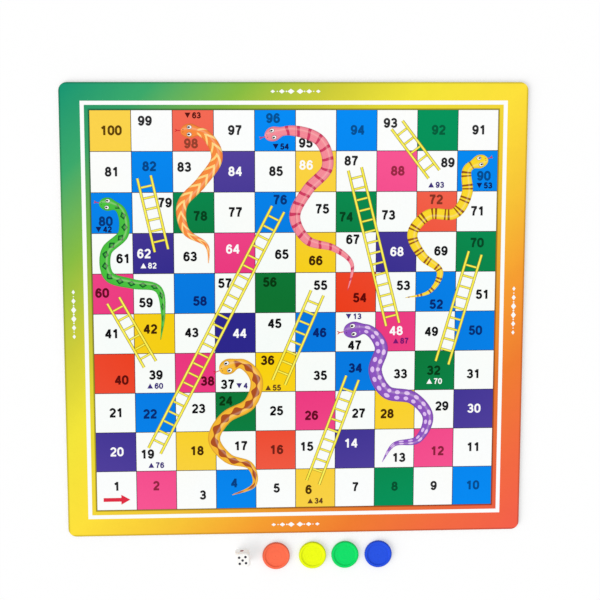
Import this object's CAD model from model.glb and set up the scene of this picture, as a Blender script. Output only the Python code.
"""Looks of a folding snakes and ladders board with four counters and a die.

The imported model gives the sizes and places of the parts. Sizes and places of the print's details are named
here. Lengths are in metres.
"""

import math

import bmesh
import bpy
import numpy as np
from mathutils import Matrix, Vector


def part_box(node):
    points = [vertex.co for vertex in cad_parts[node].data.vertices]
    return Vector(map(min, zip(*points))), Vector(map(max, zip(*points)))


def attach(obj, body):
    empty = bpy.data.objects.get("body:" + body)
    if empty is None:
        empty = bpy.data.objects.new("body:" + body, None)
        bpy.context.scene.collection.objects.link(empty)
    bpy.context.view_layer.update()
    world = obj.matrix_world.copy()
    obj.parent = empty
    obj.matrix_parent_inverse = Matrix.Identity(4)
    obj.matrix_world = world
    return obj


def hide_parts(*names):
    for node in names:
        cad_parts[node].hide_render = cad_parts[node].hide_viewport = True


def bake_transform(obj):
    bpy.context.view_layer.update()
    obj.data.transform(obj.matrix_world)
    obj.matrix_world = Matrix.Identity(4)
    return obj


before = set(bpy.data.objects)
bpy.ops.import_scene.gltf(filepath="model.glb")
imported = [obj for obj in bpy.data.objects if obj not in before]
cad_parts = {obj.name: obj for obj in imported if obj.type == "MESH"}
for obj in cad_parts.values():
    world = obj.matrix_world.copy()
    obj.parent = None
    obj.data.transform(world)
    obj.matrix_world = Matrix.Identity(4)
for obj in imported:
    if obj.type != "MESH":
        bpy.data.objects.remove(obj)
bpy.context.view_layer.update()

MM = 0.001
SIDES = {"left": -1, "right": 1}
DOUBLES_GAP = 0.0001 * MM

# Sizes of the board, read from the frame
COLUMNS = 10
blue_low, blue_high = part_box("right_squares_blue")
sheet_low, sheet_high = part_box("right_print_sheet")
leaf_low, leaf_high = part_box("right_hinge_leaf")
CELL = (blue_low.x + blue_high.x) / (COLUMNS / 2)
BOARD_W = 2 * sheet_high.x
BOARD_D = sheet_high.y - sheet_low.y
BOARD_Y = (sheet_high.y + sheet_low.y) / 2
PRINT_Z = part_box("right_border_band")[1].z
CREASE = sheet_low.x

# Sizes of the print. Ladders and snakes stand up from it, and the ink of small marks is let in a little.
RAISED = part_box("right_ladders")[1].z - PRINT_Z
INK_T = 0.05 * MM
SUNK = 0.02 * MM
INK_Z = PRINT_Z + (INK_T - SUNK) / 2
WHITE_LINE_W = 3.1 * MM
DIGIT_H = 7.2 * MM
SMALL_DIGIT_H = 4.5 * MM
SNAKE_W = 10.5 * MM
HEAD_W = 13 * MM
HEAD_L = 17 * MM
LADDER_SIZES = {
    "Ladder width": 10.6 * MM,
    "Rail width": 2.2 * MM,
    "Rung width": 1.8 * MM,
    "Rung pitch": 8.65 * MM,
    "Ink": 0.8 * RAISED,
}
ORNAMENT_SIZES = {
    "Lozenge": 3 * MM,
    "Dot": 0.7 * MM,
    "Pitch": 7 * MM,
    "Reach": 17.5 * MM,
    "Ink": INK_T + SUNK,
}

# Ladders, foot and top, and snakes, width next to the widest one and course from nose to tail, in squares
# from the grid's near left corner
LADDER_SHARES = [
    [(1.70, 6.57), (1.30, 8.38)],
    [(1.38, 3.73), (0.50, 5.34)],
    [(1.46, 1.52), (4.57, 7.58)],
    [(4.58, 3.23), (5.54, 5.49)],
    [(5.44, 0.64), (6.43, 3.33)],
    [(7.43, 4.68), (6.46, 8.56)],
    [(8.69, 3.69), (9.48, 6.46)],
    [(8.42, 8.42), (7.49, 9.63)],
]
SNAKE_SHARES = {
    "orange": (0.85, [(2.2, 9.5), (2.78, 9.42), (3.08, 8.85), (2.7, 8.25), (2.22, 7.7), (2.3, 7.05),
                      (2.8, 6.7), (2.85, 6.25)]),
    "pink": (0.85, [(4.25, 9.35), (4.9, 9.5), (5.6, 9.25), (5.78, 8.6), (5.3, 8.05), (4.98, 7.4),
                    (5.3, 6.8), (5.95, 6.6), (6.4, 6.2), (6.3, 5.55)]),
    "green": (0.8, [(0.2, 7.75), (0.7, 7.6), (0.78, 7.0), (0.35, 6.55), (0.4, 5.95), (0.98, 5.75),
                    (1.6, 5.62), (1.72, 5.0), (1.65, 4.35)]),
    "yellow": (0.8, [(9.75, 8.8), (9.25, 8.55), (9.25, 7.95), (8.95, 7.45), (8.3, 7.42), (7.9, 6.95),
                     (8.15, 6.4), (8.6, 6.0), (8.35, 5.5), (7.75, 5.35)]),
    "purple": (1, [(6.2, 4.5), (6.8, 4.55), (7.15, 4.1), (7.0, 3.5), (7.3, 2.95), (7.95, 2.8),
                   (8.35, 2.3), (8.1, 1.72), (7.5, 1.6), (7.2, 1.15)]),
    "amber": (0.95, [(3.1, 3.55), (3.65, 3.72), (4.02, 3.3), (3.85, 2.7), (3.25, 2.35), (2.95, 1.8),
                     (3.3, 1.3), (3.85, 1.1), (3.95, 0.6), (3.4, 0.35)]),
}
NECK_SHARE = 0.62
SWELL_SHARE = 0.9
TAIL_SHARE = 0.55
TAIL_TIP_W = 0.5 * MM

# Which squares have which colour. The others stay white.
SQUARES = {
    "blue": (4, 10, 22, 34, 46, 50, 52, 58, 76, 80, 82, 90, 94, 96),
    "green": (8, 24, 32, 56, 70, 74, 78, 92),
    "pink": (2, 12, 26, 38, 48, 60, 64, 88),
    "yellow": (6, 18, 28, 36, 42, 66, 86, 100),
    "red": (16, 40, 54, 72, 98),
    "purple": (14, 20, 30, 44, 62, 68, 84),
}

# Places of the numbers inside their squares, in squares from the near left corner: near the middle, apart
# from those that make room for a ladder, a snake or a mark
MIDDLE_SHARES = (0.52, 0.51)
NUMBER_SHARES = {
    99: (0.34, 0.74), 98: (0.45, 0.19), 96: (0.45, 0.80), 95: (0.25, 0.20), 93: (0.33, 0.68),
    82: (0.43, 0.64), 83: (0.28, 0.62), 86: (0.26, 0.66), 87: (0.37, 0.76), 89: (0.76, 0.71),
    90: (0.66, 0.38), 80: (0.35, 0.30), 79: (0.80, 0.75), 78: (0.66, 0.42), 76: (0.62, 0.81),
    75: (0.66, 0.58), 74: (0.25, 0.38), 73: (0.30, 0.42), 72: (0.48, 0.80), 61: (0.76, 0.38),
    62: (0.27, 0.50), 63: (0.40, 0.42), 64: (0.45, 0.60), 65: (0.66, 0.46), 66: (0.50, 0.30),
    67: (0.42, 0.82), 69: (0.62, 0.52), 70: (0.52, 0.72), 60: (0.23, 0.53), 59: (0.30, 0.28),
    58: (0.63, 0.31), 57: (0.25, 0.75), 56: (0.36, 0.77), 55: (0.62, 0.68), 54: (0.60, 0.36),
    53: (0.69, 0.66), 52: (0.52, 0.18), 51: (0.68, 0.42), 41: (0.45, 0.51), 42: (0.40, 0.62),
    43: (0.42, 0.52), 44: (0.61, 0.49), 45: (0.48, 0.73), 46: (0.60, 0.49), 47: (0.48, 0.16),
    48: (0.52, 0.52), 49: (0.41, 0.49), 40: (0.67, 0.34), 38: (0.80, 0.29), 37: (0.30, 0.20),
    36: (0.30, 0.80), 35: (0.62, 0.40), 34: (0.50, 0.58), 33: (0.64, 0.42), 31: (0.49, 0.40),
    22: (0.36, 0.47), 24: (0.25, 0.78), 23: (0.57, 0.59), 26: (0.40, 0.38), 27: (0.59, 0.42),
    28: (0.31, 0.40), 29: (0.70, 0.58), 19: (0.28, 0.44), 17: (0.62, 0.62), 15: (0.28, 0.58),
    14: (0.40, 0.65), 13: (0.62, 0.26), 12: (0.60, 0.42), 1: (0.50, 0.62), 2: (0.49, 0.62),
    3: (0.66, 0.36), 4: (0.45, 0.66), 6: (0.33, 0.46), 32: (0.48, 0.50), 39: (0.52, 0.46),
}
WHITE_NUMBERS = SQUARES["purple"] + (64, 48, 86)

# Places of the small marks that say where a ladder or a snake leads, by the square they are printed in
MARK_SHARES = {
    62: (0.38, 0.20), 39: (0.50, 0.18), 19: (0.50, 0.15), 36: (0.44, 0.10), 6: (0.50, 0.16),
    48: (0.64, 0.26), 32: (0.50, 0.22), 89: (0.48, 0.16),
    98: (0.50, 0.87), 96: (0.64, 0.11), 80: (0.30, 0.10), 90: (0.68, 0.14), 47: (0.45, 0.89),
    37: (0.66, 0.16),
}
WHITE_MARKS = (62, 32)
START_SHARES = (0.5, 0.27)


def srgb(red, green, blue):
    """A colour as a shader takes it, from its red, green and blue out of 255."""
    shares = (c / 255 for c in (red, green, blue))
    return (*(s / 12.92 if s <= 0.04045 else ((s + 0.055) / 1.055) ** 2.4 for s in shares), 1.0)


# The print is deepest at a place near the middle of the board, given from that middle, and paler near the
# border. It fades between these distances from it, where a length across the board counts for less.
FADE_PLACE = (-CELL, -0.5 * CELL)
FADE_FROM = 0.5 * CELL
FADE_TO = 6 * CELL
FADE_ACROSS = 0.5

# Inks of the squares, and of the numbers by the colour of their square: the deepest, and faded
INKS = {
    "blue": (srgb(0, 119, 221), srgb(0, 138, 243)),
    "green": (srgb(8, 112, 46), srgb(0, 147, 91)),
    "pink": (srgb(232, 52, 124), srgb(249, 88, 149)),
    "yellow": (srgb(246, 207, 8), srgb(249, 209, 75)),
    "red": (srgb(233, 58, 20), srgb(243, 105, 84)),
    "purple": (srgb(42, 36, 136), srgb(88, 69, 160)),
}
NUMBER_INKS = {
    "white": (srgb(10, 10, 13), srgb(42, 42, 44)),
    "blue": (srgb(0, 33, 107), srgb(0, 82, 149)),
    "green": (srgb(0, 51, 9), srgb(0, 92, 58)),
    "pink": (srgb(92, 0, 26), srgb(174, 50, 80)),
    "yellow": (srgb(58, 28, 0), srgb(94, 64, 2)),
    "red": (srgb(93, 0, 0), srgb(161, 74, 52)),
}
WHITE_INK = srgb(251, 251, 251)
MARK_INKS = {
    "white": srgb(62, 48, 122),
    "blue": srgb(10, 24, 84),
    "green": srgb(250, 250, 250),
    "pink": srgb(120, 20, 110),
    "yellow": srgb(98, 62, 30),
    "red": srgb(88, 18, 14),
    "purple": srgb(250, 250, 250),
}


def socket_of(value):
    """The socket of a signal and the first output of a node. Other values stay as they are."""
    if isinstance(value, bpy.types.Node):
        return value.outputs[0]
    return value.socket if isinstance(value, Signal) else value


def maths_method(operation):
    """A method that puts a signal, and any number given with it, through a Math node."""
    def method(signal, *others):
        return signal.maths(operation, signal, *others)
    return method


class Signal:
    """A number that a node gives, so that sums on it are written as Python expressions."""

    __add__ = __radd__ = maths_method("ADD")
    __sub__ = maths_method("SUBTRACT")
    __mul__ = __rmul__ = maths_method("MULTIPLY")
    __truediv__ = maths_method("DIVIDE")
    __abs__ = maths_method("ABSOLUTE")
    below = maths_method("LESS_THAN")
    larger = maths_method("MAXIMUM")
    smaller = maths_method("MINIMUM")
    floor = maths_method("FLOOR")
    fraction = maths_method("FRACT")
    sine = maths_method("SINE")
    root = maths_method("SQRT")

    def __init__(self, maker, value):
        self.maker = maker
        self.socket = socket_of(value)

    def __rsub__(self, other):
        return self.maths("SUBTRACT", other, self)

    def maths(self, operation, *numbers):
        made = self.maker.node("ShaderNodeMath", {"operation": operation}, dict(enumerate(numbers)))
        return Signal(self.maker, made)

    def rise(self, low, high):
        """0 up to low, 1 from high on, and a smooth rise between them."""
        settings = {"interpolation_type": "SMOOTHSTEP"}
        made = self.maker.node("ShaderNodeMapRange", settings, {0: self, 1: low, 2: high, 3: 0.0, 4: 1.0})
        return Signal(self.maker, made)


class Maker:
    """Makes the nodes of one material, of the world or of one shape tree."""

    def __init__(self, tree, material=None):
        self.tree = tree
        self.material = material

    def node(self, kind, settings=None, sockets=None):
        """A node with its settings and with the values, signals or nodes that its sockets take."""
        made = self.tree.nodes.new(kind)
        for name, value in (settings or {}).items():
            if name == "stops":
                self.set_stops(made.color_ramp, value)
            else:
                setattr(made, name, value)
        for name, value in (sockets or {}).items():
            value = socket_of(value)
            if isinstance(value, bpy.types.NodeSocket):
                self.tree.links.new(value, made.inputs[name])
            else:
                made.inputs[name].default_value = value
        return made

    def set_stops(self, ramp, stops):
        while len(ramp.elements) < len(stops):
            ramp.elements.new(1.0)
        for element, (place, colour) in zip(ramp.elements, stops):
            element.position = place
            element.color = colour

    def axes(self, vector):
        """The three numbers of a vector."""
        return [Signal(self, out) for out in self.node("ShaderNodeSeparateXYZ", sockets={0: vector}).outputs]

    def vector(self, x=0.0, y=0.0, z=0.0):
        return self.node("ShaderNodeCombineXYZ", sockets={0: x, 1: y, 2: z})

    def place(self):
        return self.node("ShaderNodeTexCoord").outputs["Object"]

    def noise(self, size, where=None, detail=2.0, roughness=0.5):
        """A soft noise from 0 to 1, whose blotches are about as large as size."""
        sockets = {"Vector": where or self.place(), "Scale": 1 / size}
        sockets.update({"Detail": detail, "Roughness": roughness})
        return Signal(self, self.node("ShaderNodeTexNoise", sockets=sockets))

    def stretched(self, x=1.0, y=1.0, z=1.0):
        return self.node("ShaderNodeMapping", sockets={"Vector": self.place(), "Scale": (x, y, z)})

    def mix(self, share, first, second):
        """first where share is 0, second where it is 1."""
        made = self.node("ShaderNodeMix", {"data_type": "RGBA"}, {0: share, 6: first, 7: second})
        return made.outputs[2]

    def toned(self, colour, brightness):
        return self.node("ShaderNodeHueSaturation", sockets={"Value": brightness, "Color": colour})

    def surface(self, colour, roughness, relief, depth, gloss):
        """Ends the material. What changes over its surface are only its colour, roughness and relief."""
        normal = self.node("ShaderNodeBump", sockets={"Height": relief, "Distance": depth, "Strength": 1.0})
        sockets = {"Base Color": colour, "Roughness": roughness, "Normal": normal}
        sockets["Specular IOR Level"] = gloss
        made = self.node("ShaderNodeBsdfPrincipled", sockets=sockets)
        self.node("ShaderNodeOutputMaterial", sockets={"Surface": made})
        return self.material


def blank_material(name):
    """A maker for a new material."""
    material = bpy.data.materials.new(name)
    material.use_nodes = True
    material.node_tree.nodes.clear()
    return Maker(material.node_tree, material)


# Finishes of the paper parts

PRINT_GLOSS = 0.04
TONE_SPREAD = 0.04
TURN_IN_W = 12 * MM
LINEN_PITCH = 0.7 * MM
CLOTH_PITCH = 0.5 * MM


def square_tone(maker):
    """A slight difference in tone from square to square, as the print has it, about 1."""
    x, y, _ = maker.axes(maker.place())
    square = maker.vector((x / CELL).floor(), ((y - BOARD_Y) / CELL).floor(), 0.5)
    made = maker.node("ShaderNodeTexWhiteNoise", {"noise_dimensions": "3D"}, {"Vector": square})
    return 1 - TONE_SPREAD / 2 + TONE_SPREAD * Signal(maker, made)


def laminate(maker, colour, roughness=0.42):
    """Ink on paper under a clear film: faint mottling, a slight orange peel and fine rubbed lines."""
    mottle = maker.noise(1.6 * MM, detail=3.0) - 0.5
    grain = maker.noise(0.25 * MM, detail=1.0) - 0.5
    rubbed = maker.noise(1.2 * MM, maker.stretched(0.12, 1.0, 1.0), detail=3.0) - 0.5
    return maker.surface(
        maker.toned(colour, 1 + 0.05 * mottle + 0.04 * grain),
        roughness + 0.16 * rubbed,
        relief=maker.noise(0.9 * MM, detail=1.0) + 0.3 * grain,
        depth=0.012 * MM,
        gloss=PRINT_GLOSS,
    )


def faded(maker, middle, outer):
    """Ink that is middle near the middle of the board and outer at its border."""
    x, y, _ = maker.axes(maker.place())
    x, y = FADE_ACROSS * (x - FADE_PLACE[0]), y - BOARD_Y - FADE_PLACE[1]
    return maker.mix((x * x + y * y).root().rise(FADE_FROM, FADE_TO), middle, outer)


def square_print(name):
    """Full-tone ink of one colour of squares."""
    maker = blank_material(f"print_{name}")
    return laminate(maker, maker.toned(faded(maker, *INKS[name]), square_tone(maker)))


def white_print():
    """The white of the printed sheet, slightly cooler in the middle of the board and warmer in places."""
    maker = blank_material("print_white")
    warmth = maker.noise(35 * MM).rise(0.35, 0.7)
    white = faded(maker, srgb(246, 251, 248), srgb(252, 253, 253))
    return laminate(maker, maker.mix(0.4 * warmth, white, srgb(252, 252, 247)))


BORDER_STOPS = [
    (0.00, srgb(16, 148, 114)),
    (0.10, srgb(58, 168, 106)),
    (0.20, srgb(134, 188, 66)),
    (0.30, srgb(206, 204, 56)),
    (0.39, srgb(242, 228, 56)),
    (0.50, srgb(253, 224, 58)),
    (0.60, srgb(247, 198, 54)),
    (0.70, srgb(245, 158, 48)),
    (0.80, srgb(239, 124, 48)),
    (0.90, srgb(242, 106, 64)),
    (1.00, srgb(243, 94, 74)),
]


def border_ramp(maker):
    """The border's colour, which runs from green at the far left corner to red at the near right one."""
    x, y, _ = maker.axes(maker.place())
    along = 0.5 + x / (2 * BOARD_W) - (y - BOARD_Y) / (2 * BOARD_D)
    return maker.node("ShaderNodeValToRGB", {"stops": BORDER_STOPS}, {0: along}).outputs[0]


def past_edge(maker):
    """How far a point lies outside the board's straight edges, below 0 inside them."""
    x, y, _ = maker.axes(maker.place())
    return (abs(x) - BOARD_W / 2).larger(abs(y - BOARD_Y) - BOARD_D / 2)


def border_print(name, brightness):
    """Ink of the border, slightly darker where the sheet turns over the board's edge."""
    maker = blank_material(name)
    cloud = maker.noise(12 * MM) - 0.5
    edge = past_edge(maker).rise(-1.8 * MM, -0.4 * MM)
    return laminate(maker, maker.toned(border_ramp(maker), brightness * (1 + 0.05 * cloud - 0.35 * edge)))


def dark_line_print():
    """Ink of the thin lines: dark between the squares, a deep tone of the border's colours round the grid."""
    maker = blank_material("print_dark_lines")
    x, y, _ = maker.axes(maker.place())
    thin = maker.noise(5 * MM, detail=3.0).rise(0.3, 0.7)
    inner = maker.mix(thin, srgb(26, 24, 34), srgb(44, 42, 52))
    grid = COLUMNS / 2 * CELL
    outside = abs(x).larger(abs(y - BOARD_Y)).rise(grid - 0.1 * MM, grid + 0.1 * MM)
    return laminate(maker, maker.mix(outside, inner, maker.toned(border_ramp(maker), 0.42)))


def mark_print():
    """Ink of numbers and small marks, each in the colour that its own mesh carries."""
    maker = blank_material("print_numbers")
    ink = maker.node("ShaderNodeAttribute", {"attribute_name": "ink"})
    return laminate(maker, ink.outputs["Color"], 0.46)


def ladder_print():
    """Rails and rungs: light yellow along the middle, with a thin dark line along both edges."""
    maker = blank_material("print_ladder")
    stored = maker.node("ShaderNodeAttribute", {"attribute_name": "across"})
    edge = abs(Signal(maker, stored.outputs["Fac"])).rise(0.6, 0.76)
    worn = maker.noise(6 * MM).rise(0.3, 0.8)
    middle = maker.mix(worn, srgb(250, 236, 72), srgb(254, 245, 104))
    return laminate(maker, maker.mix(edge, middle, srgb(128, 112, 28)))


def greyboard():
    """Cut edge and face of grey pulp board: layers of fibre with darker flecks."""
    maker = blank_material("greyboard")
    layers = maker.noise(0.3 * MM, maker.stretched(0.15, 0.15, 1.0), detail=4.0, roughness=0.65)
    fibre = maker.noise(0.3 * MM, maker.stretched(0.3, 1.0, 1.0), detail=3.0)
    fleck = maker.noise(0.5 * MM, detail=1.0).rise(0.68, 0.74)
    body = maker.mix(layers.rise(0.3, 0.7), srgb(148, 142, 131), srgb(180, 174, 162))
    flecked = maker.mix(0.5 * fleck, body, srgb(92, 86, 78))
    return maker.surface(
        flecked, 0.86 + 0.1 * (fibre - 0.5), relief=layers + 0.6 * fibre, depth=0.06 * MM, gloss=0.2
    )


def threads(maker, pitch):
    """Waves along and across a cloth whose threads lie a pitch apart."""
    x, y, _ = maker.axes(maker.place())
    turn = 2 * math.pi / pitch
    return (x * turn).sine(), (y * turn).sine()


def backing_paper():
    """Pale paper of the underside with a fine linen pattern, over the edge of the print that is turned in."""
    maker = blank_material("backing_paper")
    warp, weft = threads(maker, LINEN_PITCH)
    weave = warp * weft
    slub = maker.noise(2.2 * MM, maker.stretched(1.0, 0.15, 1.0), detail=3.0) - 0.5
    rubbed = maker.noise(60 * MM, detail=4.0).rise(0.45, 0.8)
    wavy = past_edge(maker) + 0.8 * MM * (maker.noise(14 * MM) - 0.5)
    step = wavy.rise(-TURN_IN_W - 0.25 * MM, -TURN_IN_W + 0.25 * MM)
    ridge = step * (1 - wavy.rise(-TURN_IN_W + 0.1 * MM, -TURN_IN_W + 0.9 * MM))
    paper = maker.mix(0.5 * rubbed, srgb(206, 211, 217), srgb(196, 202, 209))
    return maker.surface(
        maker.toned(paper, 1 + 0.03 * weave + 0.08 * slub - 0.05 * ridge),
        0.68 + 0.12 * slub,
        relief=weave + slub + 3 * step,
        depth=0.03 * MM,
        gloss=0.3,
    )


def hinge_cloth():
    """Woven strip that holds the two boards together."""
    maker = blank_material("hinge_cloth")
    warp, weft = threads(maker, CLOTH_PITCH)
    weave = warp + weft
    lint = maker.noise(1.5 * MM, detail=3.0) - 0.5
    tone = 1 + 0.06 * weave + 0.1 * lint
    return maker.surface(
        maker.toned(srgb(226, 218, 196), tone), 0.85 + 0.1 * lint, relief=weave, depth=0.03 * MM, gloss=0.2
    )


# Finishes of the snakes. Each pattern is drawn along (in millimetres from the nose) and across (-1 to 1),
# and repeats at a pitch in millimetres.

PATTERN_FROM = 13
SCALES_ALONG = 4.2
SCALES_ACROSS = 9


def chevrons(along, across, pitch=9, lean=7, width=0.34):
    return ((along - lean * abs(across)) / pitch).fraction().below(width)


def rings(along, across, pitch=8.5, sway=0.06, width=0.26):
    return (along / pitch + sway * (across * 2.2).sine()).fraction().below(width)


def diamonds(along, across, pitch=9, size=0.72, hollow=0.34):
    reach = abs((along / pitch).fraction() - 0.5) * 2 + abs(across) * 1.15
    return reach.below(size) - reach.below(hollow) * 0.75


def double_bands(along, across, pitch=10, width=0.15, thin_place=0.35, thin_width=0.12):
    turn = (along / pitch).fraction()
    return turn.below(width) + abs(turn - thin_place).below(thin_width / 2)


def paired_spots(along, across, pitch=7.5, place=0.42, ahead_size=0.27, aside_size=0.3):
    ahead = ((along / pitch).fraction() - 0.5) / ahead_size
    aside = (abs(across) - place) / aside_size
    return (ahead * ahead + aside * aside).below(1.0)


def saddles(along, across, pitch=11, width=0.38, swell=0.3):
    return abs(across).below(width + swell * (along * (2 * math.pi / pitch)).sine())


SNAKE_FINISHES = {
    "orange": (srgb(247, 138, 62), srgb(255, 214, 130), chevrons),
    "pink": (srgb(244, 138, 152), srgb(206, 58, 96), rings),
    "green": (srgb(72, 190, 62), srgb(16, 96, 40), diamonds),
    "yellow": (srgb(250, 216, 44), srgb(150, 84, 24), double_bands),
    "purple": (srgb(140, 84, 190), srgb(222, 190, 240), paired_spots),
    "amber": (srgb(246, 184, 52), srgb(170, 78, 34), saddles),
}


def snake_print(name):
    """Ink of one snake: its back pattern, fine scales, a darker edge and a lighter line along one side."""
    skin, marking, pattern = SNAKE_FINISHES[name]
    maker = blank_material(f"print_{name}_snake")
    u, v, _ = maker.axes(maker.node("ShaderNodeUVMap", {"uv_map": "course"}))
    along = u * 10
    across = v * 2 - 1
    marked = pattern(along, across) * along.rise(PATTERN_FROM - 1, PATTERN_FROM + 1)
    onward, aside = along * SCALES_ALONG, across * SCALES_ACROSS
    scales = (onward + aside).sine() * (onward - aside).sine()
    edge = abs(across).rise(0.7, 1.0)
    gleam = 1 - abs(across - 0.35).rise(0.05, 0.3)
    blotch = maker.noise(4 * MM, detail=3.0) - 0.5
    lit = maker.mix(0.16 * gleam, maker.mix(marked, skin, marking), srgb(255, 246, 225))
    return laminate(maker, maker.toned(lit, 1 + 0.07 * scales + 0.1 * blotch - 0.24 * edge))


# Finishes of the playing pieces

COUNTER_COLOURS = {
    "red": srgb(255, 112, 78),
    "yellow": srgb(238, 252, 14),
    "green": srgb(8, 222, 104),
    "blue": srgb(36, 82, 226),
}
# Where a counter is deeper in colour, in shares of its radius: at the foot of the rim and at its edge
RIM_FOOT_SHARE = 0.82
RIM_FOOT_REACH_SHARE = 0.03
RIM_EDGE_SHARES = (0.91, 0.985)


def counter_plastic(name):
    """Moulded plastic: faint flow lines round the middle, a deeper colour at the rim, fine scratches."""
    maker = blank_material(f"plastic_{name}")
    low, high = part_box(f"counter_{name}")
    middle = (low + high) / 2
    x, y, _ = maker.axes(maker.place())
    x, y = x - middle.x, y - middle.y
    radius = (x * x + y * y).root()
    outer = high.x - middle.x
    step = 1 - abs(radius - RIM_FOOT_SHARE * outer).rise(0, RIM_FOOT_REACH_SHARE * outer)
    rim = radius.rise(*(share * outer for share in RIM_EDGE_SHARES)) + 0.3 * step
    flow = maker.noise(2.5 * MM, maker.vector(radius * 3, x * 0.4, y * 0.4), detail=3.0) - 0.5
    cloud = maker.noise(5 * MM) - 0.5
    scratch = maker.noise(1.5 * MM, maker.stretched(1.0, 0.08, 1.0), detail=4.0)
    return maker.surface(
        maker.toned(COUNTER_COLOURS[name], 1 + 0.08 * flow + 0.06 * cloud - 0.3 * rim),
        0.34 + 0.2 * (scratch - 0.5),
        relief=flow + 0.3 * scratch,
        depth=0.03 * MM,
        gloss=0.1,
    )


def die_plastic():
    """White plastic with a few specks and fine scratches."""
    maker = blank_material("plastic_die")
    cloud = maker.noise(3 * MM, detail=3.0) - 0.5
    speck = maker.noise(0.6 * MM, detail=1.0).rise(0.7, 0.76)
    scratch = maker.noise(0.8 * MM, maker.stretched(1.0, 0.1, 1.0), detail=3.0)
    white = maker.mix(0.08 * speck, srgb(252, 251, 248), srgb(190, 186, 178))
    return maker.surface(
        maker.toned(white, 1 + 0.03 * cloud),
        0.3 + 0.16 * (scratch - 0.5),
        relief=cloud + 0.3 * scratch,
        depth=0.02 * MM,
        gloss=0.35,
    )


def pip_paint(name, colour):
    """Paint that has pooled unevenly in the pips."""
    maker = blank_material(name)
    pooled = maker.noise(0.7 * MM, detail=3.0) - 0.5
    return maker.surface(
        maker.toned(colour, 1 + 0.35 * pooled), 0.38 + 0.2 * pooled, relief=pooled, depth=0.03 * MM, gloss=0.4
    )


# Meshes

def placed(name, data):
    """A new object of the scene from its data."""
    made = bpy.data.objects.new(name, data)
    bpy.context.scene.collection.objects.link(made)
    return made


def piece(name, mesh, *materials):
    """A new object of the scene from a mesh in the given materials."""
    for material in materials:
        mesh.materials.append(material)
    return placed(name, mesh)


def mesh_of(name, points, faces=(), edges=()):
    """A mesh of points with faces, with edges alone, or with neither."""
    mesh = bpy.data.meshes.new(name)
    mesh.from_pydata([tuple(p) for p in points], edges, faces)
    mesh.validate()
    return mesh


def tidy(mesh, sharp=None):
    """Joins doubled points and turns the faces outwards. All edges stay sharp, or those past an angle."""
    work = bmesh.new()
    work.from_mesh(mesh)
    bmesh.ops.remove_doubles(work, verts=work.verts, dist=DOUBLES_GAP)
    bmesh.ops.recalc_face_normals(work, faces=work.faces)
    work.to_mesh(mesh)
    work.free()
    if sharp is None:
        mesh.shade_flat()
    else:
        mesh.shade_smooth()
        mesh.set_sharp_from_angle(angle=math.radians(sharp))
    return mesh


def finished(made, name):
    """The shape that an object has with its modifiers, as a plain mesh. The object is removed."""
    view = bpy.context.evaluated_depsgraph_get()
    mesh = bpy.data.meshes.new_from_object(made.evaluated_get(view))
    mesh.name = name
    bpy.data.objects.remove(made)
    return mesh


def keep_half(mesh, side):
    """Keeps what lies on one side of the crease and closes the cut."""
    work = bmesh.new()
    work.from_mesh(mesh)
    cut = bmesh.ops.bisect_plane(
        work,
        geom=[*work.verts, *work.edges, *work.faces],
        plane_co=(side * CREASE, 0, 0),
        plane_no=(side, 0, 0),
        clear_inner=True,
    )
    rims = [e for e in cut["geom_cut"] if isinstance(e, bmesh.types.BMEdge) and e.is_valid]
    bmesh.ops.holes_fill(work, edges=rims, sides=0)
    work.to_mesh(mesh)
    work.free()
    return mesh


def arc(x, y, across, up, start, end, steps):
    """Points of part of an oval, from one angle to another in degrees."""
    turns = [math.radians(start + (end - start) * k / steps) for k in range(steps + 1)]
    return [(x + across * math.cos(a), y + up * math.sin(a)) for a in turns]


def slab_faces(rows, columns):
    """Faces of a thin closed slab that has two layers of rows of points, the lower layer first."""
    layer = rows * columns
    last = layer - columns
    cells = [(r * columns + c, (r + 1) * columns + c) for r in range(rows - 1) for c in range(columns - 1)]
    top = [(layer + a, layer + b, layer + b + 1, layer + a + 1) for a, b in cells]
    bottom = [(a + 1, b + 1, b, a) for a, b in cells]
    rim = [*range(0, layer, columns), *range(last + 1, layer)]
    rim += [*range(last - 1, 0, -columns), *range(columns - 2, 0, -1)]
    walls = [(a, b, layer + b, layer + a) for a, b in zip(rim, rim[1:] + rim[:1])]
    return top + bottom + walls


def mirrored(side, tip):
    """An outline of the points of one side, a tip on the middle line and the points of the other side."""
    return [*side, (tip, 0), *[(ahead, -aside) for ahead, aside in reversed(side)]]


def ride_on(made, body, slot, *nodes):
    """Lets a piece ride on a body, in a slot and in place of the given nodes."""
    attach(made, body)
    if nodes:
        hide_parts(*nodes)


def on_grid(u, v):
    """The point of the print that is u squares along and v squares up from the grid's near left corner."""
    return Vector(((u - COLUMNS / 2) * CELL, BOARD_Y + (v - COLUMNS / 2) * CELL))


def square_number(u, v):
    """The number of the square that holds a point: the numbers run to and fro from the near left corner."""
    column, row = int(u), int(v)
    return row * COLUMNS + (column + 1 if row % 2 == 0 else COLUMNS - column)


def in_square(number, u, v):
    """The point that is u of a square's side along and v of it up from that square's near left corner."""
    row, column = divmod(number - 1, COLUMNS)
    return on_grid((column if row % 2 == 0 else COLUMNS - 1 - column) + u, row + v)


def square_colour(number):
    """The name of the colour of a square."""
    return next((colour for colour, numbers in SQUARES.items() if number in numbers), "white")


def side_of(point):
    """The half of the board that a point lies on."""
    return "left" if point.x < 0 else "right"


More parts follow.
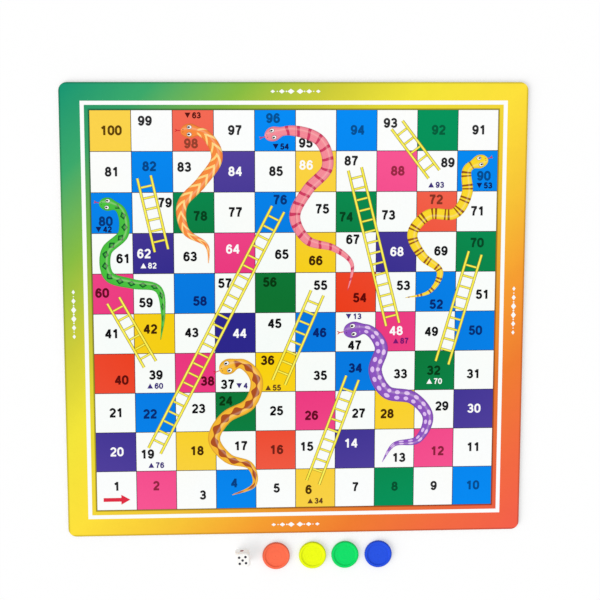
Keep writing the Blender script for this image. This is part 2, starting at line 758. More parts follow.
class Marks:
    """Small flat shapes of ink on one half of the board, collected into one closed mesh."""

    def __init__(self):
        self.points, self.faces, self.inks = [], [], []

    def outline(self, outline, ink, low=PRINT_Z - SUNK, high=PRINT_Z + INK_T):
        """A flat shape with the given outline, from height low to height high."""
        first, count = len(self.points), len(outline)
        top = first + count
        self.points += [(x, y, z) for z in (low, high) for x, y in outline]
        self.inks += [ink] * (2 * count)
        self.faces += [[*range(top - 1, first - 1, -1)], [*range(top, top + count)]]
        nexts = [(i + 1) % count for i in range(count)]
        self.faces += [(first + i, first + j, top + j, top + i) for i, j in enumerate(nexts)]

    def made(self, name):
        mesh = mesh_of(name, self.points, self.faces)
        carry_inks(mesh, self.inks)
        return piece(name, tidy(mesh), MARK_PRINT)


# Numbers and marks. The strokes of each digit are shares of its height, from its lower left corner.

DIGIT_WIDTH_SHARE = 0.66
DIGIT_STEP_SHARE = 0.77
PEN_SHARE = 0.23
WHITE_PEN_SHARE = 0.2
STROKE_TURN = 11
LAP = 0.003 * MM


def bow(x, y, across, up, start, end):
    """A round stretch of a stroke, with a point about every STROKE_TURN degrees."""
    return arc(x, y, across, up, start, end, max(3, round(abs(end - start) / STROKE_TURN)))


def closed(points):
    return [*points, points[0]]


ZERO_SHARES = [closed(bow(0.33, 0.62, 0.245, 0.295, 0, 180) + bow(0.33, 0.38, 0.245, 0.295, 180, 360))]
SIX_SHARES = [
    closed(bow(0.335, 0.335, 0.235, 0.25, 0, 340)),
    [(0.1, 0.335), *bow(0.355, 0.5, 0.255, 0.415, 175, 35)],
]
DIGIT_SHARES = {
    "0": ZERO_SHARES,
    "1": [[(0.39, 0), (0.39, 1)], [(0.36, 0.9), (0.26, 0.79), (0.11, 0.715)]],
    "2": [
        [*bow(0.33, 0.675, 0.235, 0.24, 168, -38), (0.24, 0.28), (0.12, 0.1)],
        [(0.02, 0.085), (0.635, 0.085)],
    ],
    "3": [
        [*bow(0.315, 0.705, 0.21, 0.21, 165, -90), (0.22, 0.495)],
        bow(0.31, 0.3, 0.25, 0.215, 90, -165),
    ],
    "4": [
        [(0.47, 0), (0.47, 0.99)],
        [(0.45, 0.93), (0.1, 0.35)],
        [(-0.005, 0.3), (0.655, 0.3)],
    ],
    "5": [
        [(0.13, 0.915), (0.6, 0.915)],
        [(0.185, 0.93), (0.125, 0.47)],
        bow(0.325, 0.335, 0.245, 0.25, 148, -165),
    ],
    "6": SIX_SHARES,
    "7": [[(0.02, 0.915), (0.64, 0.915)], [(0.58, 0.9), (0.41, 0.66), (0.3, 0.36), (0.26, 0)]],
    "8": [
        closed(bow(0.33, 0.715, 0.195, 0.2, 0, 340)),
        closed(bow(0.33, 0.3, 0.24, 0.215, 0, 340)),
    ],
    "9": [[(DIGIT_WIDTH_SHARE - x, 1 - y) for x, y in stroke] for stroke in SIX_SHARES],
}


class PenWork:
    """Numbers on one half of the board as the lines that a pen follows, all of one height."""

    def __init__(self, height):
        self.height = height
        self.points, self.edges, self.inks = [], [], []

    def width(self, text):
        return self.height * ((len(text) - 1) * DIGIT_STEP_SHARE + DIGIT_WIDTH_SHARE)

    def write(self, text, centre, ink):
        for place, digit in enumerate(text):
            x = centre.x - self.width(text) / 2 + self.height * place * DIGIT_STEP_SHARE
            y = centre.y - self.height / 2
            for lap, stroke in enumerate(DIGIT_SHARES[digit]):
                z = INK_Z + lap * LAP
                self.add([(x + self.height * across, y + self.height * up, z) for across, up in stroke], ink)

    def add(self, stroke, ink):
        first = len(self.points)
        count = len(stroke) - (stroke[0] == stroke[-1])
        self.points += stroke[:count]
        self.inks += [ink] * count
        self.edges += [(first + i, first + (i + 1) % count) for i in range(len(stroke) - 1)]

    def made(self, name, tree):
        mesh = mesh_of(name, self.points, edges=self.edges)
        carry_inks(mesh, self.inks)
        thin = WHITE_PEN_SHARE / PEN_SHARE
        stored = mesh.attributes.new("pen", "FLOAT", "POINT")
        stored.data.foreach_set("value", [thin if ink is WHITE_INK else 1.0 for ink in self.inks])
        return grown(name, mesh, tree, {"Pen": PEN_SHARE * self.height, "Ink": INK_T + SUNK})


def carry_inks(mesh, inks):
    """Stores a colour for each point of a mesh."""
    stored = mesh.color_attributes.new("ink", "FLOAT_COLOR", "POINT")
    stored.data.foreach_set("color", np.array(inks, np.float32).ravel())


def pen_tree():
    """A flat ribbon of ink along each line, as wide as the pen there."""
    maker, lines, size = shape_tree("pen", ["Pen", "Ink"])
    pen = maker.node("GeometryNodeInputNamedAttribute", {"data_type": "FLOAT"}, {"Name": "pen"})
    nib = rectangle(maker, size["Pen"], size["Ink"])
    return end_tree(maker, swept(maker, level_courses(maker, lines), nib, pen), MARK_PRINT)


def number_ink(number, point):
    """The ink of a number at a point of the print, which fades outwards as the squares do, but later."""
    if number in WHITE_NUMBERS:
        return WHITE_INK
    middle, outer = NUMBER_INKS[square_colour(number)]
    reach = math.hypot(FADE_ACROSS * (point.x - FADE_PLACE[0]), point.y - BOARD_Y - FADE_PLACE[1])
    share = min(max((reach - FADE_FROM) / (FADE_TO - FADE_FROM), 0), 1)
    fade = (share * share * (3 - 2 * share)) ** 2
    return [a + (b - a) * fade for a, b in zip(middle, outer)]


def numbers():
    """The numbers from 1 to 100."""
    works = {side: PenWork(DIGIT_H) for side in SIDES}
    for number in range(1, COLUMNS * COLUMNS + 1):
        centre = in_square(number, *NUMBER_SHARES.get(number, MIDDLE_SHARES))
        works[side_of(centre)].write(str(number), centre, number_ink(number, centre))
    tree = pen_tree()
    for side, work in works.items():
        ride_on(work.made(f"numbers_{side}", tree), f"{side}_half", "grid_lines")


POINTER_SHARE = 0.9
POINTER_GAP_SHARE = 0.35
POINTER_CORNERS = [(-0.55, -0.5), (0.55, -0.5), (0, 0.5)]


def pointer(x, y, size, upwards):
    """Corners of a small triangle that points up or down the board."""
    way = 1 if upwards else -1
    return [(x + across * size, y + up * way * size) for across, up in POINTER_CORNERS]


def move_marks():
    """A pointer and a number in each square where a ladder starts or a snake's head lies."""
    leads = [*LADDER_SHARES, *[(course[0], course[-1]) for _, course in SNAKE_SHARES.values()]]
    works = {side: PenWork(SMALL_DIGIT_H) for side in SIDES}
    pointers = {side: Marks() for side in SIDES}
    size, gap = POINTER_SHARE * SMALL_DIGIT_H, POINTER_GAP_SHARE * SMALL_DIGIT_H
    for start, end in leads:
        number, target = square_number(*start), str(square_number(*end))
        ink = WHITE_INK if number in WHITE_MARKS else MARK_INKS[square_colour(number)]
        centre = in_square(number, *MARK_SHARES[number])
        side = side_of(centre)
        width = works[side].width(target)
        left = centre.x - (size + gap + width) / 2
        pointers[side].outline(pointer(left + size / 2, centre.y, size, end[1] > start[1]), ink)
        works[side].write(target, Vector((left + size + gap + width / 2, centre.y)), ink)
    tree = pen_tree()
    for side in SIDES:
        ride_on(works[side].made(f"move_numbers_{side}", tree), f"{side}_half", "grid_lines")
        ride_on(pointers[side].made(f"move_pointers_{side}"), f"{side}_half", "grid_lines")


ARROW_L = 21 * MM
ARROW_W = 8 * MM
ARROW_HEAD_L = 7 * MM
ARROW_SHAFT_W = 3 * MM
ARROW_INK = srgb(222, 44, 66)


def start_arrow():
    """A red arrow along the first row, in the first square."""
    centre = in_square(1, *START_SHARES)
    head = ARROW_L / 2 - ARROW_HEAD_L
    side = [(-ARROW_L / 2, -ARROW_SHAFT_W / 2), (head, -ARROW_SHAFT_W / 2), (head, -ARROW_W / 2)]
    marks = Marks()
    marks.outline([(centre.x + x, centre.y + y) for x, y in mirrored(side, ARROW_L / 2)], ARROW_INK)
    ride_on(marks.made("start_arrow"), "left_half", "grid_lines")


# Shapes that repeat, made by trees

def shape_tree(name, sizes):
    """A maker for a new tree, the geometry that it is given, and its named inputs for sizes."""
    tree = bpy.data.node_groups.new(name, "GeometryNodeTree")
    tree.interface.new_socket("Geometry", in_out="INPUT", socket_type="NodeSocketGeometry")
    for size in sizes:
        tree.interface.new_socket(size, in_out="INPUT", socket_type="NodeSocketFloat")
    tree.interface.new_socket("Geometry", in_out="OUTPUT", socket_type="NodeSocketGeometry")
    maker = Maker(tree)
    given = maker.node("NodeGroupInput").outputs
    return maker, given["Geometry"], {size: Signal(maker, given[size]) for size in sizes}


def end_tree(maker, shape, material):
    """Ends a tree with a shape in one material."""
    real = maker.node("GeometryNodeRealizeInstances", sockets={0: shape})
    painted = maker.node("GeometryNodeSetMaterial", sockets={"Geometry": real, "Material": material})
    maker.node("NodeGroupOutput", sockets={0: painted})
    return maker.tree


def grown(name, mesh, tree, sizes):
    """The piece that a tree makes from a mesh, with the given sizes."""
    made = piece(name, mesh)
    modifier = made.modifiers.new(name, "NODES")
    modifier.node_group = tree
    for item in tree.interface.items_tree:
        if item.name in sizes:
            modifier[item.identifier] = sizes[item.name]
    return piece(name, tidy(finished(made, name)))


def level_courses(maker, lines):
    """A curve along each line, on which a section stays level."""
    courses = maker.node("GeometryNodeMeshToCurve", sockets={"Mesh": lines})
    return maker.node("GeometryNodeSetCurveNormal", {"mode": "Z_UP"}, {"Curve": courses})


def rectangle(maker, width, height):
    """A rectangle as a curve, the section of a flat strip."""
    kind = "GeometryNodeCurvePrimitiveQuadrilateral"
    return maker.node(kind, {"mode": "RECTANGLE"}, {"Width": width, "Height": height})


def swept(maker, curve, section, scale=1.0):
    """A solid strip with a section along each curve."""
    sockets = {"Curve": curve, "Profile Curve": section, "Scale": scale, "Fill Caps": True}
    return maker.node("GeometryNodeCurveToMesh", sockets=sockets)


def joined(maker, shapes):
    """Shapes as one, in the order in which they are given."""
    whole = maker.node("GeometryNodeJoinGeometry")
    for shape in shapes:
        maker.tree.links.new(socket_of(shape), whole.inputs[0])
    return whole


def curve_length(maker):
    """The length of the curve that a node is given."""
    return Signal(maker, maker.node("GeometryNodeSplineLength").outputs["Length"])


def trimmed(maker, curve, margin):
    """A curve without a margin at each end."""
    sockets = {0: curve, 4: margin, 5: curve_length(maker) - margin}
    return maker.node("GeometryNodeTrimCurve", {"mode": "LENGTH"}, sockets)


def copies(maker, points, shape, axis, way, scale=(1, 1, 1)):
    """A copy of a shape on each point, with one of its axes turned that way."""
    turned = maker.node("FunctionNodeAlignRotationToVector", {"axis": axis}, {"Vector": way})
    sockets = {"Points": points, "Instance": shape, "Rotation": turned, "Scale": scale}
    return maker.node("GeometryNodeInstanceOnPoints", sockets=sockets)


def in_line(maker, curve, pitch, shape, scale=(1, 1, 1)):
    """Copies of a shape along a curve whose length is a whole number of pitches."""
    count = (curve_length(maker) / pitch + 0.5).floor() + 1
    points = maker.node("GeometryNodeResampleCurve", {"mode": "COUNT"}, {"Curve": curve, "Count": count})
    return copies(maker, points, shape, "X", maker.node("GeometryNodeInputTangent"), scale)


def lines_mesh(lines, height):
    """A mesh of separate straight edges at one height."""
    points = [(p.x, p.y, height) for line in lines for p in line]
    return mesh_of("lines", points, edges=[(i, i + 1) for i in range(0, len(points), 2)])


def marked_across(maker, geometry, width):
    """Stores how far each point lies from the middle of a strip of that width, as the attribute across."""
    x, _, _ = maker.axes(maker.node("GeometryNodeInputPosition"))
    return maker.node(
        "GeometryNodeStoreNamedAttribute",
        {"data_type": "FLOAT", "domain": "POINT"},
        {"Geometry": geometry, "Name": "across", "Value": x / (width / 2)},
    )


def ladder_tree():
    """Two rails along each line and rungs between them, a pitch apart and centred on the line."""
    maker, lines, size = shape_tree("ladder", LADDER_SIZES)
    ladder_w, rail_w, rung_w, pitch, ink = size.values()
    courses = level_courses(maker, lines)
    section = rectangle(maker, rail_w, ink)
    divided = maker.node("GeometryNodeSubdivideCurve", sockets={"Curve": section, "Cuts": 3})
    strip = marked_across(maker, divided, rail_w)
    pair = []
    for side in SIDES.values():
        sockets = {"Geometry": strip, "Translation": maker.vector(side * ladder_w / 2)}
        pair.append(maker.node("GeometryNodeTransform", sockets=sockets))
    rails = swept(maker, courses, joined(maker, pair))
    length = curve_length(maker)
    count = ((length - pitch / 2) / pitch).floor()
    inner = trimmed(maker, courses, (length - (count - 1) * pitch) / 2)
    block = maker.vector(rung_w, ladder_w - rail_w, ink)
    rung = maker.node("GeometryNodeMeshCube", sockets={"Size": block, "Vertices X": 5})
    rungs = in_line(maker, inner, pitch, marked_across(maker, rung, rung_w))
    return end_tree(maker, joined(maker, [rails, rungs]), LADDER_PRINT)


def ladders():
    """The ladders, cut where one of them crosses the crease."""
    tree = ladder_tree()
    lines = [[on_grid(*foot), on_grid(*top)] for foot, top in LADDER_SHARES]
    for side, sign in SIDES.items():
        mesh = lines_mesh(lines, PRINT_Z + LADDER_SIZES["Ink"] / 2)
        made = grown(f"ladder_print_{side}", mesh, tree, LADDER_SIZES)
        keep_half(made.data, sign)
        ride_on(made, f"{side}_half", "ladders", f"{side}_ladders")


FAR_ORNAMENT_SHARE = 0.6
LOZENGE_W_SHARE = 0.72
LOZENGE_CORNERS = 4
DOT_CORNERS = 16


def ornament_tree():
    """Lozenges a pitch apart along each line, smaller towards its far end, and a dot between each two."""
    maker, lines, size = shape_tree("border_ornament", ORNAMENT_SIZES)
    courses = level_courses(maker, lines)
    x, y, _ = maker.axes(maker.node("GeometryNodeInputPosition"))
    away = abs(x).smaller(abs(y - BOARD_Y)) / size["Reach"]
    scale = 1 - (1 - FAR_ORNAMENT_SHARE) * away
    inner = trimmed(maker, courses, size["Pitch"] / 2)
    lozenges = (courses, LOZENGE_CORNERS, "Lozenge", LOZENGE_W_SHARE)
    dots = (inner, DOT_CORNERS, "Dot", 1.0)
    chains = []
    for curve, corners, radius, narrow in (lozenges, dots):
        sockets = {"Vertices": corners, "Radius": size[radius], "Depth": size["Ink"]}
        shape = maker.node("GeometryNodeMeshCylinder", sockets=sockets)
        chains.append(in_line(maker, curve, size["Pitch"], shape, maker.vector(scale, scale * narrow, 1.0)))
    return end_tree(maker, joined(maker, chains), ORNAMENT_PRINT)


def border_ornaments():
    """A white chain of lozenges at the middle of each side of the border."""
    tree = ornament_tree()
    line_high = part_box("right_border_line")[1]
    side_x = (line_high.x + WHITE_LINE_W + BOARD_W / 2) / 2
    end_y = (line_high.y - BOARD_Y + WHITE_LINE_W + BOARD_D / 2) / 2
    first, reach = ORNAMENT_SIZES["Pitch"] / 2, ORNAMENT_SIZES["Reach"]
    for side, sign in SIDES.items():
        lines = [[Vector((sign * x, BOARD_Y + end * end_y)) for x in (first, reach)] for end in (-1, 1)]
        lines.append([Vector((sign * side_x, BOARD_Y + end * reach)) for end in (-1, 1)])
        made = grown(f"border_ornament_{side}", lines_mesh(lines, INK_Z), tree, ORNAMENT_SIZES)
        ride_on(made, f"{side}_half", "white_print")


# Snakes

COURSE_STEPS = 10
BODY_STEP = CELL / 24
LOOK = CELL / 60
NOSE_ANGLES = range(6, 91, 7)
STRIPS = 8


def bend(points, i, t):
    """The point t of the way from point i to the next one, on a smooth line through all of them."""
    a, b, c, d = points[max(i - 1, 0)], points[i], points[i + 1], points[min(i + 2, len(points) - 1)]
    return b + t * ((c - a) + t * ((2 * a - 5 * b + 4 * c - d) + t * (3 * b - a - 3 * c + d))) / 2


class Course:
    """The middle line of a snake, measured from its nose."""

    def __init__(self, shares):
        points = [on_grid(u, v) for u, v in shares]
        steps = [k / COURSE_STEPS for k in range(COURSE_STEPS)]
        line = [bend(points, i, t) for i in range(len(points) - 1) for t in steps]
        self.line = np.array([*line, points[-1]])
        self.runs = np.r_[0, np.cumsum(np.linalg.norm(np.diff(self.line, axis=0), axis=1))]
        self.length = self.runs[-1]

    def at(self, s):
        return Vector((np.interp(s, self.runs, self.line[:, 0]), np.interp(s, self.runs, self.line[:, 1])))

    def onward(self, s):
        return (self.at(s + LOOK) - self.at(s - LOOK)).normalized()

    def beside(self, s, across):
        """The point at distance s from the nose and a length across to the left of the line."""
        way = self.onward(s)
        return self.at(s) + float(across) * Vector((-way.y, way.x))


def head_half(s):
    """Half the width of the widest snake's head at distance s from its nose."""
    reach = s / (HEAD_L / 2) - 1
    if reach < 0:
        return HEAD_W / 2 * math.sqrt(1 - reach * reach)
    return HEAD_W / 2 * (NECK_SHARE + (1 - NECK_SHARE) * (1 + math.cos(math.pi * min(reach, 1))) / 2)


def snake_half(s, length):
    """Half the width of the widest snake at distance s from its nose."""
    if s < HEAD_L:
        return head_half(s)
    neck = HEAD_W / 2 * NECK_SHARE
    swell = math.sin(math.pi / 2 * min((s - HEAD_L) / (SWELL_SHARE * CELL), 1))
    left = min((length - s) / (TAIL_SHARE * length), 1)
    return (neck + (SNAKE_W / 2 - neck) * swell) * math.sin(math.pi / 2 * left) + TAIL_TIP_W / 2 * (1 - left)


def snake_mesh(name, share, course):
    """A flat strip along the course, with a UV map of centimetres along it and shares across it."""
    head = share * HEAD_L / 2
    stations = [head * (1 - math.cos(math.radians(angle))) for angle in NOSE_ANGLES]
    stations += list(np.arange(head + BODY_STEP, course.length - BODY_STEP / 2, BODY_STEP)) + [course.length]
    places = [(s, 2 * k / STRIPS - 1) for s in stations for k in range(STRIPS + 1)]
    flat = [course.beside(s, a * share * snake_half(s / share, course.length / share)) for s, a in places]
    points = [(p.x, p.y, z) for z in (PRINT_Z - SUNK, PRINT_Z + RAISED) for p in flat]
    mesh = mesh_of(name, points, slab_faces(len(stations), STRIPS + 1))
    uv = mesh.uv_layers.new(name="course")
    for loop in mesh.loops:
        s, a = places[loop.vertex_index % len(places)]
        uv.data[loop.index].uv = (s / (10 * MM), (a + 1) / 2)
    return tidy(mesh)


def oval(course, s, across, ahead, aside, count):
    """Corners of an oval on a snake, ahead and aside being its half sizes."""
    way = course.onward(s)
    centre = course.beside(s, across)
    square = Vector((-way.y, way.x))
    angles = [2 * math.pi * k / count for k in range(count)]
    return [tuple(centre + ahead * math.cos(a) * way + aside * math.sin(a) * square) for a in angles]


# Ovals on a snake's head: how far back in shares of its length, how far aside in shares of the eyes' place,
# half sizes and height in millimetres, number of corners, ink
EYE_SHARE = 0.25
OVALS = [
    (0.46, 1, 2.3, 1.9, 0.03, 20, srgb(36, 30, 30)),
    (0.46, 1, 2.0, 1.6, 0.04, 20, WHITE_INK),
    (0.43, 1, 1.2, 0.8, 0.05, 20, srgb(14, 12, 16)),
    (0.13, 0.35, 0.45, 0.3, 0.03, 10, srgb(60, 30, 24)),
]
# One side of the tongue and its notch, ahead of the nose and aside, in millimetres
TONGUE_SIDE = [(-0.5, 0.35), (3.0, 0.32), (4.7, 1.4), (5.1, 1.0)]
TONGUE_NOTCH = 3.9
TONGUE_INK = srgb(206, 32, 44)


def snake_face(marks, share, course):
    """Two eyes with upright pupils, two nostrils and a forked tongue."""
    scale = share * MM
    low = PRINT_Z + RAISED - SUNK
    for side in SIDES.values():
        across = side * EYE_SHARE * share * HEAD_W
        for back, out, ahead, aside, height, corners, ink in OVALS:
            back *= share * HEAD_L
            shape = oval(course, back, out * across, ahead * scale, aside * scale, corners)
            marks.outline(shape, ink, low, low + height * MM)
    way = -course.onward(LOOK)
    square = Vector((-way.y, way.x))
    nose = course.at(0)
    corners = mirrored(TONGUE_SIDE, TONGUE_NOTCH)
    tongue = [nose + scale * (ahead * way + aside * square) for ahead, aside in corners]
    marks.outline(tongue, TONGUE_INK)


def snakes():
    """The snakes, one piece for each half of the board that a snake reaches."""
    faces = {side: Marks() for side in SIDES}
    for name, (share, shares) in SNAKE_SHARES.items():
        course = Course(shares)
        print_material = snake_print(name)
        for side, sign in SIDES.items():
            node = f"{side}_snake_{name}"
            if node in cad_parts:
                mesh = keep_half(snake_mesh(name, share, course), sign)
                made = piece(f"{name}_snake_{side}", mesh, print_material)
                ride_on(made, f"{side}_half", f"snake_{name}", node)
        snake_face(faces[side_of(course.at(0))], share, course)
    for side, marks in faces.items():
        ride_on(marks.made(f"snake_faces_{side}"), f"{side}_half", "white_print")


# The fold

FOLD_ROW = 15 * MM
FOLD_REACH = 0.9 * MM
FOLD_STEPS = 16
CREASE_STEPS = 12


def folding_strip(name, across, along, low, high, reach, *materials):
    """A thin flat strip over the fold with corners at the given places, which bends within reach of it."""
    points = [(x, y, z) for z in (low, high) for y in along for x in across]
    made = piece(name, tidy(mesh_of(name, points, slab_faces(len(along), len(across)))), *materials)
    middle = (low + high) / 2
    -reach
    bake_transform(made)
    return made


def spread(low, high, largest):
    """Places from low to high, no further apart than largest."""
    return list(np.linspace(low, high, math.ceil((high - low) / largest) + 1))


def hinge_strip():
    """The strip that joins the halves under the print."""
    across = [-leaf_high.x, *np.linspace(-FOLD_REACH, FOLD_REACH, FOLD_STEPS + 1), leaf_high.x]
    along = spread(leaf_low.y, leaf_high.y, FOLD_ROW)
    made = folding_strip("hinge_strip", across, along, leaf_low.z, leaf_high.z, FOLD_REACH, hinge_cloth())
    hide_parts("left_hinge_leaf", "right_hinge_leaf")


def crease():
    """The fold of the printed sheet: inks of the border and of the line between two squares, white below."""
    inks = [LINE_PRINT, BORDER_LINE_PRINT, WHITE_PRINT, BORDER_PRINT]
    line_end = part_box("right_border_line")[1].y
    grid_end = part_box("right_grid_lines")[1].y
    ends = [BOARD_Y, grid_end, line_end, line_end + WHITE_LINE_W, sheet_high.y]
    far = [y for a, b in zip(ends, ends[1:]) for y in spread(a, b, FOLD_ROW)[1:]]
    along = [2 * BOARD_Y - y for y in reversed(far)] + [BOARD_Y] + far
    across = np.linspace(-CREASE, CREASE, CREASE_STEPS + 1)
    made = folding_strip("crease", across, along, sheet_low.z, PRINT_Z, CREASE, *inks)
    for face in made.data.polygons:
        aside = abs(face.center.y - BOARD_Y) + BOARD_Y
        below = face.normal.z < -0.5
        face.material_index = inks.index(WHITE_PRINT) if below else sum(aside > end for end in ends[1:-1])


# Playing pieces. Edges past these angles stay sharp.

TURNED_SHARP = 40
DIE_SHARP = 32


def turned_shape(name, profile, centre, count):
    """A solid turned about an upright axis from a profile of radii and heights that ends on the axis."""
    angles = [2 * math.pi * k / count for k in range(count)]
    points = [(centre.x, centre.y, profile[0][1])]
    for radius, height in profile[1:-1]:
        points += [(centre.x + radius * math.cos(a), centre.y + radius * math.sin(a), height) for a in angles]
    points.append((centre.x, centre.y, profile[-1][1]))
    top = len(points) - 1 - count
    nexts = [(k, (k + 1) % count) for k in range(count)]
    faces = [(0, 1 + j, 1 + i) for i, j in nexts]
    for a in range(1, top, count):
        faces += [(a + i, a + j, a + count + j, a + count + i) for i, j in nexts]
    faces += [(top + i, top + j, len(points) - 1) for i, j in nexts]
    return tidy(mesh_of(name, points, faces), TURNED_SHARP)


# Sizes of a counter: its rim, the fillets beside it with a narrow flat next to them, how deep its face and
# the hollow below lie, and the rings and the dimple on its face, as steps of millimetres out and of relief up
COUNTER_RIM_W = 1.8 * MM
COUNTER_FILLET = 0.35 * MM
COUNTER_FLAT = 0.2 * MM
COUNTER_DISH = 0.7 * MM
COUNTER_FOOT = 0.25 * MM
COUNTER_FOOT_W = 4.4 * MM
COUNTER_RELIEF = 0.08 * MM
RING_SHARES = (0.62, 0.34)
RING_STEPS = [(0.6, 0), (0.4, 0), (0.12, 1), (-0.12, 1), (-0.4, 0), (-0.6, 0)]
DIMPLE_STEPS = [(1.1, 0), (0.9, 0), (0.75, -1), (0.6, -1), (0, -1)]
COUNTER_SIDES = 96
EDGE_STEPS = 5
FILLET_STEPS = 4


def counter_disc(colour):
    """A counter: a rounded rim round a dished face with two faint rings, and a shallow hollow below."""
    low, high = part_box(f"counter_{colour}")
    centre = (low + high) / 2
    r, t = high.x - centre.x, high.z
    edge, face, rim = t / 4, t - COUNTER_DISH, r - COUNTER_RIM_W
    wall = rim - 2 * COUNTER_FILLET
    foot = r - COUNTER_FOOT_W
    profile = [(0, COUNTER_FOOT), (foot, COUNTER_FOOT), (foot + COUNTER_FOOT, 0)]
    profile += arc(r - edge, edge, edge, edge, -90, 0, EDGE_STEPS)
    profile += arc(r - edge, t - edge, edge, edge, 0, 90, EDGE_STEPS)
    fillet = COUNTER_FILLET
    profile += arc(rim, t - fillet, fillet, fillet, 90, 180, FILLET_STEPS)
    profile += arc(wall, face + fillet, fillet, fillet, 0, -90, FILLET_STEPS)
    profile.append((wall - COUNTER_FLAT, face))
    for middle, steps in [*((share * r, RING_STEPS) for share in RING_SHARES), (0, DIMPLE_STEPS)]:
        profile += [(middle + out * MM, face + up * COUNTER_RELIEF) for out, up in steps]
    mesh = turned_shape(f"{colour}_counter", profile, centre, COUNTER_SIDES)
    made = piece(f"{colour}_counter_disc", mesh, counter_plastic(colour))
    ride_on(made, f"{colour}_counter", f"counter_{colour}", f"counter_{colour}")


# Places of the pips of each number, in shares of the die's side from the middle of its face
PIP_SHARE = 0.21
DIAGONAL = [(-1, -1), (1, 1)]
CORNERS = [(-1, -1), (-1, 1), (1, -1), (1, 1)]
PIPS = [
    [(0, 0)],
    DIAGONAL,
    [*DIAGONAL, (0, 0)],
    CORNERS,
    [*CORNERS, (0, 0)],
    [*CORNERS, (-1, 0), (1, 0)],
]
# The turn about X and then Y that carries the top face to the face of each number
FACE_TURNS = [(-90, 0), (180, 0), (0, 90), (0, -90), (0, 0), (90, 0)]
DIE_TURN = math.radians(5)
DIE_EDGE = 1.3 * MM
DIE_STEPS = 24
PIP_R = 1.05 * MM
ONE_PIP_R = 1.7 * MM
PIP_DEPTH = 0.5 * MM
BOWL_SIDES = 32
BOWL_RINGS = 24
BALL_SHARE = 0.71
PAINT_T = 0.06 * MM
PAINT_GAP = 0.01 * MM
PAINT_SHARE = 0.98
PAINT_TOP_SHARE = 0.97
PAINT_TAPER = 0.8
PAINT_RINGS = 6
PAINT_SIDES = 24


def die_place():
    """Where the die stands, and the length of its side."""
    low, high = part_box("die_body")
    return Matrix.Translation((low + high) / 2) @ Matrix.Rotation(DIE_TURN, 4, "Z"), high.z - low.z


def pip_places(number, size):
    """Where the pips of a number lie on the die's face, as matrices whose Z points out of the face."""
    about_x, about_y = (math.radians(a) for a in FACE_TURNS[number - 1])
    turn = Matrix.Rotation(about_y, 4, "Y") @ Matrix.Rotation(about_x, 4, "X")
    for x, y in PIPS[number - 1]:
        yield turn @ Matrix.Translation((x * PIP_SHARE * size, y * PIP_SHARE * size, size / 2))


def bowl_radius(radius):
    """Radius of the ball that cuts a recess of that radius at the face."""
    return (radius * radius + PIP_DEPTH * PIP_DEPTH) / (2 * PIP_DEPTH)


def rounded_cube(size):
    """A cube with rounded edges, its corners cut by a ball."""
    inner = size / 2 - DIE_EDGE
    work = bmesh.new()
    bmesh.ops.create_cube(work, size=size)
    bmesh.ops.subdivide_edges(work, edges=work.edges, cuts=DIE_STEPS - 1, use_grid_fill=True)
    for vert in work.verts:
        core = Vector([max(-inner, min(inner, c)) for c in vert.co])
        over = vert.co - core
        if sum(c != 0 for c in over) > 1:
            vert.co = core + over.normalized() * DIE_EDGE
        if vert.co.length > BALL_SHARE * size:
            vert.co = vert.co.normalized() * BALL_SHARE * size
    mesh = bpy.data.meshes.new("die_body")
    work.to_mesh(mesh)
    work.free()
    return mesh


def pip_bowls(size):
    """Balls that cut the recesses of the pips."""
    work = bmesh.new()
    for number in range(1, len(PIPS) + 1):
        bowl = bowl_radius(ONE_PIP_R if number == 1 else PIP_R)
        for pip in pip_places(number, size):
            place = pip @ Matrix.Translation((0, 0, bowl - PIP_DEPTH))
            ball = {"u_segments": BOWL_SIDES, "v_segments": BOWL_RINGS, "radius": bowl}
            bmesh.ops.create_uvsphere(work, matrix=place, **ball)
    mesh = bpy.data.meshes.new("pip_bowls")
    work.to_mesh(mesh)
    work.free()
    return mesh


def die_cube():
    """The die: a rounded cube with a bowl for each pip."""
    place, size = die_place()
    cutter = piece("pip_bowls", pip_bowls(size))
    made = piece("die_work", rounded_cube(size))
    cut = made.modifiers.new("bowls", "BOOLEAN")
    cut.operation, cut.solver, cut.object = "DIFFERENCE", "EXACT", cutter
    mesh = finished(made, "die_cube")
    bpy.data.objects.remove(cutter)
    mesh.transform(place)
    ride_on(piece("die_cube", tidy(mesh, DIE_SHARP), die_plastic()), "die", "die_plastic", "die_body")


def paint_cap(radius):
    """A thin lens of paint that lies in the bowl of a pip, thinner towards its rim just under the face."""
    bowl = bowl_radius(radius)
    widest = math.asin(PAINT_SHARE * radius / bowl)
    angles = [widest * k / PAINT_RINGS for k in range(PAINT_RINGS + 1)]
    lower = [(bowl * math.sin(a), bowl - PIP_DEPTH - bowl * math.cos(a) + PAINT_GAP) for a in angles]
    thinned = [1 - PAINT_TAPER * (r / PAINT_SHARE / radius) ** 2 for r, _ in lower]
    upper = [(r * PAINT_TOP_SHARE, h + PAINT_T * thin) for (r, h), thin in zip(lower, thinned)][::-1]
    return turned_shape("paint_cap", [*lower, *upper], Vector((0, 0, 0)), PAINT_SIDES)


def pip_tree(cap, material):
    """One cap of paint on each point, turned to face out of the die."""
    maker, points, size = shape_tree("pip_paint", ["Scale"])
    shape = maker.node("GeometryNodeObjectInfo", sockets={"Object": cap}).outputs["Geometry"]
    out = maker.node("GeometryNodeInputNamedAttribute", {"data_type": "FLOAT_VECTOR"}, {"Name": "out"})
    scale = maker.vector(size["Scale"], size["Scale"], size["Scale"])
    return end_tree(maker, copies(maker, points, shape, "Z", out, scale), material)


